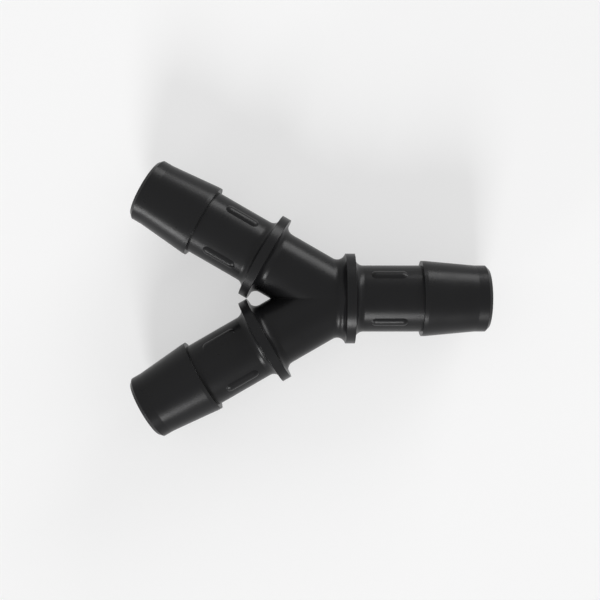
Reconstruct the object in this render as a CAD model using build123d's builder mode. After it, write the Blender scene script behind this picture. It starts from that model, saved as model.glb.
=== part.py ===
from build123d import *
from math import cos, radians, sin, sqrt, tan
import os

# A moulded Y connector for three hoses of one size, lying flat on the rims of its three flanges.
# The origin is on the surface it lies on, under the middle of its footprint.
# +X points along the stem, +Z points up, and the two branches lean to +Y and -Y.

# Driving dimensions, in millimetres and degrees.
hose_bore = 16.0            # inside diameter of the hoses: the barrels and the tips match it
wall_thickness = 2.0        # plastic between the outside of a barrel and its bore
branch_angle = 60.0         # between the two branches
rim_gap = 0.1               # air between the rims of the two branch flanges, where they are nearest

flange_rise = 2.85          # how far a flange stands out from the barrel
flange_thickness = 2.2
root_fillet = 2.0           # on both sides of each flange
fillet_share = 0.95         # of the wall that a fillet runs up, which is the most it takes

barrel_length = 16.0        # from a flange to the step behind the barb
barb_rise = 1.1             # how far the barb stands out from the barrel at its step
crest_length = 0.9          # straight land between the step and the taper
taper_length = 12.0
tip_length = 3.2            # straight lead-in past the taper, with its bevelled edge
tip_bevel = 0.8

ribs_per_barrel = 4
first_rib_angle = 45.0      # round the barrel, from the plane in which the three axes lie
rib_length = 8.6            # from toe to toe
rib_width = 2.5
rib_height = 0.42           # crest of a rib above the barrel

# Radii.
barrel_radius = hose_bore / 2
bore_radius = barrel_radius - wall_thickness
tip_radius = barrel_radius
barb_radius = barrel_radius + barb_rise
flange_radius = barrel_radius + flange_rise

# Stations along an arm, measured from the point where the three axes meet.
# The stem's flange starts where the outlines of the stem and of a branch would cross.
# The branches' flanges stand just far enough out to clear each other by the rim gap.
lean = branch_angle / 2
stem_face = barrel_radius * tan(radians(lean / 2))
branch_face = (rim_gap / 2 + flange_radius * cos(radians(lean))) / sin(radians(lean))

# The fillets at the roots of the flanges, each limited by the wall it runs up.
flange_fillet = min(root_fillet, fillet_share * flange_rise)
hub_fillet = min(flange_fillet, fillet_share * stem_face)

# A cubic curve follows a quarter circle when its inner points lie this share of the radius along.
arc_pull = 4 / 3 * (sqrt(2) - 1)

# Stations measured from the inner face of an arm's own flange.
barb_step = flange_thickness + barrel_length
taper_start = barb_step + crest_length
taper_end = taper_start + taper_length
tip_end = taper_end + tip_length
rib_middle = flange_thickness + barrel_length / 2

# The point where the axes meet, placed so that the footprint is centred on the origin.
stem_reach = stem_face + tip_end
branch_tip = branch_face + tip_end
branch_reach = branch_tip * cos(radians(lean)) + (tip_radius - tip_bevel) * sin(radians(lean))
junction = Vector((branch_reach - stem_reach) / 2, 0, flange_radius)

# The branches close in on the inner side of the stem's flange at a sharp angle, so its fillet
# needs more room than the rim leaves. It is made on a wider blank, which is then cut back.
blank_radius = barrel_radius + hub_fillet / tan(radians((90 - lean) / 2)) + hub_fillet
trim_radius = blank_radius + hub_fillet
trim_overlap = hub_fillet / 2

# A rib is the outer part of a round-ended bar that lies sunk in the barrel.
rib_toe_drop = barrel_radius - sqrt(barrel_radius**2 - (rib_width / 2) ** 2)
rib_crown = rib_height + rib_toe_drop
bar_radius = (rib_crown**2 + (rib_width / 2) ** 2) / (2 * rib_crown)
bar_offset = barrel_radius + rib_height - bar_radius
bar_end_hidden = bar_radius - sqrt(bar_radius**2 - (barrel_radius - bar_offset) ** 2)
bar_length = rib_length + 2 * bar_end_hidden

# Each arm: the way it points, and the station of its flange's inner face.
stem = (0.0, stem_face)
branches = [(180 - lean, branch_face), (180 + lean, branch_face)]
arms = [stem, *branches]


def arm_plane(turn, roll=0.0):
    """Plane with X out along an arm's axis and Y away from it, rolled about that axis."""
    return Plane(Location(junction) * Rotation(0, 0, turn) * Rotation(roll, 0, 0))


def square_plane(turn, station):
    """Plane square to an arm's axis at a station, facing out towards the tip."""
    return Plane(Location(junction) * Rotation(0, 0, turn) * Location((station, 0, 0)) * Rotation(0, 90, 0))


def outer_corners(face):
    """Station, distance from the axis and fillet of each corner, from a flange's rim out to the tip."""
    return [
        (face, flange_radius, 0),
        (face + flange_thickness, flange_radius, 0),
        (face + flange_thickness, barrel_radius, flange_fillet),
        (face + barb_step, barrel_radius, 0),
        (face + barb_step, barb_radius, 0),
        (face + taper_start, barb_radius, 0),
        (face + taper_end, tip_radius, 0),
        (face + tip_end - tip_bevel, tip_radius, 0),
        (face + tip_end, tip_radius - tip_bevel, 0),
        (face + tip_end, 0, 0),
    ]


def rounded_outline(corners):
    """Closed outline through the corners, where a smooth curve rounds each corner by its own fillet."""
    points = [Vector(station, distance) for station, distance, rounding in corners]
    reached = points[-1]
    for number, corner in enumerate(points):
        rounding = corners[number][2]
        curve_start = corner + (points[number - 1] - corner).normalized() * rounding
        curve_end = corner + (points[(number + 1) % len(points)] - corner).normalized() * rounding
        Line(reached, curve_start)
        if rounding:
            pull_start = curve_start + (corner - curve_start) * arc_pull
            pull_end = curve_end + (corner - curve_end) * arc_pull
            Bezier(curve_start, pull_start, pull_end, curve_end)
        reached = curve_end


with BuildPart() as y_connector:
    # The branches run out from the junction, where a ball fills the corner that their ends share.
    for turn, face in branches:
        along = arm_plane(turn)
        inner_corners = [(0, 0, 0), (0, barrel_radius, 0), (face, barrel_radius, flange_fillet)]
        with BuildSketch(along):
            with BuildLine():
                rounded_outline(inner_corners + outer_corners(face))
            make_face()
        revolve(axis=Axis(along.origin, along.x_dir))
    with Locations(junction):
        Sphere(barrel_radius)

    # The stem's flange as a wide blank, filleted where the branches and the ball meet it,
    # and then cut back to its rim.
    with BuildSketch(square_plane(0, stem_face)):
        Circle(blank_radius)
    extrude(amount=flange_thickness)
    inner_side = y_connector.faces().filter_by(Axis.X).sort_by(Axis.X)[0]
    fillet(inner_side.inner_wires()[0].edges(), radius=hub_fillet)
    with BuildSketch(square_plane(0, stem_face - trim_overlap)):
        Circle(trim_radius)
        Circle(flange_radius, mode=Mode.SUBTRACT)
    extrude(amount=flange_thickness + 2 * trim_overlap, mode=Mode.SUBTRACT)

    # The stem, from the inner side of its flange out.
    along = arm_plane(0)
    with BuildSketch(along):
        with BuildLine():
            rounded_outline([(stem_face, 0, 0)] + outer_corners(stem_face))
        make_face()
    revolve(axis=Axis(along.origin, along.x_dir))

    # Ribs that keep the hose from turning, evenly spaced round the middle of each barrel.
    for turn, face in arms:
        for number in range(ribs_per_barrel):
            above_rib = arm_plane(turn, first_rib_angle + number * 360 / ribs_per_barrel)
            bar_axis = Axis(above_rib.from_local_coords((0, bar_offset, 0)), above_rib.x_dir)
            with BuildSketch(above_rib):
                with Locations((face + rib_middle, bar_offset)):
                    SlotOverall(bar_length, 2 * bar_radius)
                    Rectangle(bar_length, bar_radius, align=(Align.CENTER, Align.MAX), mode=Mode.SUBTRACT)
            revolve(axis=bar_axis)

    # Bores, from the junction out through each tip.
    for turn, face in arms:
        with BuildSketch(square_plane(turn, 0)):
            Circle(bore_radius)
        extrude(amount=face + tip_end, mode=Mode.SUBTRACT)

y_connector.part.label = "y_connector"

os.makedirs("parts", exist_ok=True)
export_step(y_connector.part, "parts/y_connector.step")
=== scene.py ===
import math

import bmesh
import bpy
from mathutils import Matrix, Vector


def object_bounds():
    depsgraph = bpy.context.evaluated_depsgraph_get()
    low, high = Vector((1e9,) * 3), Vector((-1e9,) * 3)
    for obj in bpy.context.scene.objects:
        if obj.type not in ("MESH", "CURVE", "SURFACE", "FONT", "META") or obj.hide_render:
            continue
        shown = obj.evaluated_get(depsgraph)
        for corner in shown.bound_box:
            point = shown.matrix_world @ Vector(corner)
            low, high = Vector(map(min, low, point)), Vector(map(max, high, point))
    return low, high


# A moulded black nylon Y connector for hoses, lying on a plain pale floor in soft studio light.

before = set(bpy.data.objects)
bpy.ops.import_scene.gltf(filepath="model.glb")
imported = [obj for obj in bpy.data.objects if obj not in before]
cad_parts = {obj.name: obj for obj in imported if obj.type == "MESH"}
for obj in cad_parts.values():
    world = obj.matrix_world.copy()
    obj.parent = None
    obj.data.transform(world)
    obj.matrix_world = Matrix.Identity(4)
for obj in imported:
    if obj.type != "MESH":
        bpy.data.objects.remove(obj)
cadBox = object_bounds()

mm = 0.001  # Blender works in metres, and the sizes below are in millimetres
scene = bpy.context.scene
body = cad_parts["y_connector"]
print("loaded the moulded body,", len(body.data.polygons), "faces")


def hexToLinear(hexText):  # "#rrggbb" in sRGB to a linear colour with full alpha
    channels = [int(hexText[start:start + 2], 16) / 255 for start in (1, 3, 5)]
    return [c / 12.92 if c <= 0.04045 else ((c + 0.055) / 1.055) ** 2.4 for c in channels] + [1.0]


# Inputs are chosen by name, or by number where a node has several of one name.
# Each takes a value, or the output of another node.
def addNode(tree, kind, settings=None, inputs=None):
    node = tree.nodes.new(kind)
    for name, value in (settings or {}).items():
        setattr(node, name, value)
    for name, value in (inputs or {}).items():
        if isinstance(value, bpy.types.NodeSocket):
            tree.links.new(value, node.inputs[name])
        else:
            node.inputs[name].default_value = value
    return node


nylon = {
    "colour": "#121213",        # carbon black pigment through and through
    "thinColour": "#171718",    # where the flow of the melt left the pigment thinner
    "dullest": 0.33,            # roughness of the least polished patches of the mould
    "smoothest": 0.27,          # roughness of the most polished ones
    "patterns": {               # blob size in mm, how many finer layers it has, and how strong they are
        "flowMarks": {"size": 14.0, "detail": 2.0, "roughness": 0.4},      # soft clouds in the colour
        "polishPatches": {"size": 5.0, "detail": 3.0, "roughness": 0.5},   # uneven sheen
        "grain": {"size": 0.5, "detail": 2.0, "roughness": 0.6},  # coarser than the real 0.1 mm, to show
    },
    "polishRange": (0.3, 0.7),  # noise values that count as the most and as the least polished
    "grainDepth": 0.008,        # mm
    "partingLineWidth": 0.2,    # mm, the flash left where the two halves of the mould met
    "partingLineRise": 0.015,   # mm
    "edgeRounding": 0.08,       # mm, no moulded edge is truly sharp
    "edgeSamples": 16,
    "ior": 1.5,
    "specularLevel": 0.14,      # the grain scatters most of the gloss
}
partingHeight = (cadBox[0][2] + cadBox[1][2]) / 2  # metres: the mould opened in the plane of the axes


# Nylon 6/6 with carbon black, injection moulded in a spark-eroded steel mould and left as it came
# out: a deep even black with a soft satin sheen, a fine grain and a hair line round the middle.
def mouldedNylon():
    material = bpy.data.materials.new("mouldedBlackNylon")
    material.use_nodes = True
    tree = material.node_tree
    tree.nodes.clear()
    place = addNode(tree, "ShaderNodeTexCoord").outputs["Object"]

    # a noise scale of 1 / (size in metres) draws blobs of about that size
    noise = {}
    for name, pattern in nylon["patterns"].items():
        noise[name] = addNode(tree, "ShaderNodeTexNoise", inputs={
            "Vector": place, "Scale": 1 / (pattern["size"] * mm),
            "Detail": pattern["detail"], "Roughness": pattern["roughness"]}).outputs["Fac"]

    colour = addNode(tree, "ShaderNodeMix", {"data_type": "RGBA"}, {
        "Factor": noise["flowMarks"],
        "A": hexToLinear(nylon["colour"]), "B": hexToLinear(nylon["thinColour"])})
    roughness = addNode(tree, "ShaderNodeMapRange", inputs={
        "Value": noise["polishPatches"],
        "From Min": nylon["polishRange"][0], "From Max": nylon["polishRange"][1],
        "To Min": nylon["smoothest"], "To Max": nylon["dullest"]})

    # softened edges, then the parting line, then the grain
    edges = addNode(tree, "ShaderNodeBevel", {"samples": nylon["edgeSamples"]}, {
        "Radius": nylon["edgeRounding"] * mm})
    height = addNode(tree, "ShaderNodeSeparateXYZ", inputs={"Vector": place}).outputs["Z"]
    onPartingLine = addNode(tree, "ShaderNodeMath", {"operation": "COMPARE"}, {
        0: height, 1: partingHeight, 2: nylon["partingLineWidth"] / 2 * mm})
    partingLine = addNode(tree, "ShaderNodeBump", inputs={
        "Height": onPartingLine.outputs["Value"], "Distance": nylon["partingLineRise"] * mm,
        "Normal": edges.outputs["Normal"]})
    surface = addNode(tree, "ShaderNodeBump", inputs={
        "Height": noise["grain"], "Distance": nylon["grainDepth"] * mm,
        "Normal": partingLine.outputs["Normal"]})

    shader = addNode(tree, "ShaderNodeBsdfPrincipled", inputs={
        "Base Color": colour.outputs["Result"], "Roughness": roughness.outputs["Result"],
        "IOR": nylon["ior"], "Specular IOR Level": nylon["specularLevel"],
        "Normal": surface.outputs["Normal"]})
    addNode(tree, "ShaderNodeOutputMaterial", inputs={"Surface": shader.outputs["BSDF"]})
    return material


body.material_slots[0].material = mouldedNylon()
print("gave the body its moulded nylon")


# 1 for what the camera sees, straight, mirrored or through glass, and 0 for the light on matt surfaces
def seenRays(tree):
    rays = addNode(tree, "ShaderNodeLightPath").outputs
    seen = rays["Is Camera Ray"]
    for kind in ("Is Glossy Ray", "Is Transmission Ray"):
        either = addNode(tree, "ShaderNodeMath", {"operation": "MAXIMUM"}, {0: seen, 1: rays[kind]})
        seen = either.outputs["Value"]
    return seen


floorStyle = {
    "colour": "#f0f0f0",
    "roughness": 0.9,
    "specularLevel": 0.0,       # no gloss at all
    "glow": 0.5,                # the share of the floor's look that is its own light
    "glowColour": "#ffffff",
    "glowStrength": 1.0,        # at 1 the glow looks just as bright as its colour
    "width": 6000.0,            # mm
}


# Opal acrylic of a light table: matt and white, with a glow from below that half fills the shadow.
def makeFloor():
    shape = bmesh.new()
    bmesh.ops.create_grid(shape, x_segments=1, y_segments=1, size=floorStyle["width"] / 2 * mm)
    mesh = bpy.data.meshes.new("studioFloor")
    shape.to_mesh(mesh)
    shape.free()

    acrylic = bpy.data.materials.new("opalAcrylic")
    acrylic.use_nodes = True
    tree = acrylic.node_tree
    tree.nodes.clear()
    matt = addNode(tree, "ShaderNodeBsdfPrincipled", inputs={
        "Base Color": hexToLinear(floorStyle["colour"]), "Roughness": floorStyle["roughness"],
        "Specular IOR Level": floorStyle["specularLevel"]})
    glow = addNode(tree, "ShaderNodeEmission", inputs={
        "Color": hexToLinear(floorStyle["glowColour"]), "Strength": floorStyle["glowStrength"]})
    share = addNode(tree, "ShaderNodeMapRange", inputs={
        "Value": seenRays(tree), "To Max": floorStyle["glow"]})
    both = addNode(tree, "ShaderNodeMixShader", inputs={
        0: share.outputs["Result"], 1: matt.outputs["BSDF"], 2: glow.outputs["Emission"]})
    addNode(tree, "ShaderNodeOutputMaterial", inputs={"Surface": both.outputs["Shader"]})
    mesh.materials.append(acrylic)

    floor = bpy.data.objects.new("studioFloor", mesh)
    scene.collection.objects.link(floor)
    return floor


makeFloor()
print("laid the floor")


# Each lamp is a distant soft panel: compass angle from +X, height angle and apparent width in degrees,
# and the light that it gives in W/m2.
lamps = {
    "sideKey": {"turn": 56, "lift": 3, "spread": 48, "strength": 3.9},
    "rightKey": {"turn": 15, "lift": 35, "spread": 40, "strength": 0.15},
    "frontStreak": {"turn": 267, "lift": 25, "spread": 20, "strength": 2.5},
    "leftStreak": {"turn": 226, "lift": 5, "spread": 18, "strength": 1.6},
    "backFill": {"turn": 150, "lift": 55, "spread": 60, "strength": 0.1},
}


def hangLamp(name, lamp):
    turn, lift = math.radians(lamp["turn"]), math.radians(lamp["lift"])
    away = Vector((math.cos(lift) * math.cos(turn), math.cos(lift) * math.sin(turn), math.sin(lift)))
    light = bpy.data.lights.new(name, "SUN")
    light.angle = math.radians(lamp["spread"])
    light.energy = lamp["strength"]
    holder = bpy.data.objects.new(name, light)
    holder.location = away  # only to keep the lamps apart, because a sun lights alike from anywhere
    holder.rotation_euler = away.to_track_quat("Z", "Y").to_euler()  # a lamp shines along its own -Z
    scene.collection.objects.link(holder)


for lampName, lampSettings in lamps.items():
    hangLamp(lampName, lampSettings)


room = {
    "colour": "#ffffff",
    "seen": 0.95,     # how bright it looks
    "light": 0.4,     # how much light it gives
}


# The camera and every mirror reflection see a white room, which lights matt surfaces only softly.
def paintRoom():
    world = bpy.data.worlds.new("whiteRoom")
    world.use_nodes = True
    tree = world.node_tree
    tree.nodes.clear()
    strength = addNode(tree, "ShaderNodeMapRange", inputs={
        "Value": seenRays(tree), "To Min": room["light"], "To Max": room["seen"]})
    background = addNode(tree, "ShaderNodeBackground", inputs={
        "Color": hexToLinear(room["colour"]), "Strength": strength.outputs["Result"]})
    addNode(tree, "ShaderNodeOutputWorld", inputs={"Surface": background.outputs["Background"]})
    scene.world = world


paintRoom()
print("hung", len(lamps), "lamps in a white room")


viewpoint = {"x": -2.21, "y": -0.36, "height": 240.8, "lens": 57.09, "sensor": 36.0}  # all in mm

camera = bpy.data.cameras.new("overheadCamera")
camera.lens = viewpoint["lens"]
camera.sensor_width = viewpoint["sensor"]
cameraHolder = bpy.data.objects.new("overheadCamera", camera)  # unturned, so it looks straight down
cameraHolder.location = Vector((viewpoint["x"], viewpoint["y"], viewpoint["height"])) * mm
scene.collection.objects.link(cameraHolder)
scene.camera = cameraHolder
scene.view_settings.view_transform = "Standard"
print("set the camera")
